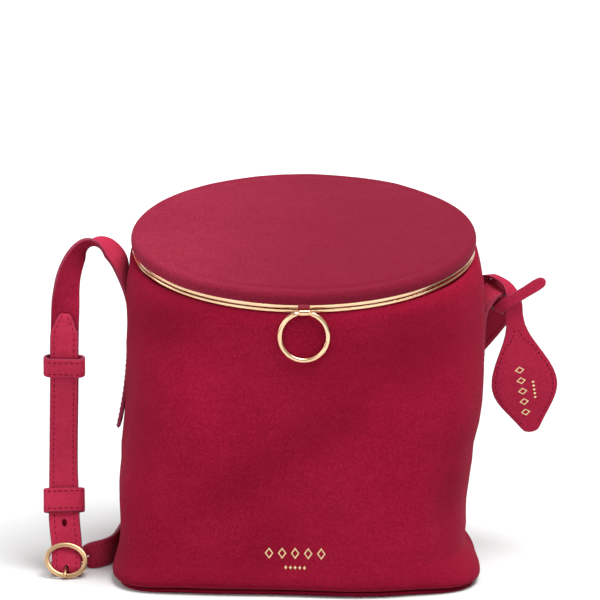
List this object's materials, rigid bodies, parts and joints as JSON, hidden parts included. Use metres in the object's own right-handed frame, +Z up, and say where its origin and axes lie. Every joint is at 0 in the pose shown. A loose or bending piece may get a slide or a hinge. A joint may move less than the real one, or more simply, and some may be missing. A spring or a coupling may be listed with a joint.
{
  "type": "bucket bag",
  "caption": "Soft oval suede bucket bag with a slanted hinged lid, paired gold rims, a ring pull, a buckled crossbody strap and a knotted hang tag.",
  "frame": {"origin": "middle of the flat base, on the face the bag stands on", "axes": "+X to the right seen from the ring pull's side, +Y from the ring pull to the hinge, +Z up"},
  "size_m": [0.276, 0.1941, 0.2069],
  "materials": {
    "suede": "crimson suede",
    "strap_suede": "crimson suede strap",
    "leather_trim": "smooth crimson leather",
    "lining": "woven lining",
    "board": "pressed fibre board",
    "foam": "thin felt padding",
    "gold": "polished gold plate",
    "magnet": "sheathed magnet"
  },
  "bodies": {
    "bag_body": {"front_panel": "suede", "back_panel": "suede", "base_panel": "suede", "base_board": "board", "body_lining": "lining", "mouth_facing": "leather_trim", "slip_pocket": "lining", "mouth_frame": "gold", "hinge_leaf_body": "gold", "hinge_pin": "gold", "strap_short": "strap_suede", "strap_long": "strap_suede", "keeper_lower": "strap_suede", "buckle_frame": "gold"},
    "lid": {"lid_frame": "gold", "hinge_leaf_lid": "gold", "lid_cover": "suede", "lid_board": "board", "lid_magnet": "magnet", "lid_padding": "foam", "lid_lining": "lining", "pull_tab": "leather_trim", "ring_barrel": "gold"},
    "ring": {"pull_ring": "gold"},
    "prong": {"buckle_prong": "gold"},
    "keeper": {"keeper_upper": "strap_suede"},
    "tag": {"hang_tag": "strap_suede", "hang_tag_backing": "leather_trim"}
  },
  "joints": [
    {"name": "lid_hinge", "type": "hinge", "parent": "bag_body", "child": "lid", "pos_m": [0.0037, 0.07119, 0.20008], "axis": [-1, 0, 0], "range_deg": [0, 115]},
    {"name": "ring_swing", "type": "hinge", "parent": "lid", "child": "ring", "pos_m": [0.0037, -0.06932, 0.14873], "axis": [-1, 0, 0], "range_deg": [0, 155]},
    {"name": "prong_swing", "type": "hinge", "parent": "bag_body", "child": "prong", "pos_m": [-0.1219, -0.02517, 0.0062], "axis": [-1, 0, 0], "range_deg": [0, 6]},
    {"name": "keeper_slide", "type": "slide", "parent": "bag_body", "child": "keeper", "axis": [-0.0355, 0.1411, -0.9894], "range_m": [0, 0.044]},
    {"name": "tag_swing", "type": "hinge", "parent": "bag_body", "child": "tag", "pos_m": [0.11, 0, 0.152], "axis": [0, -1, 0], "range_deg": [0, 10]}
  ]
}
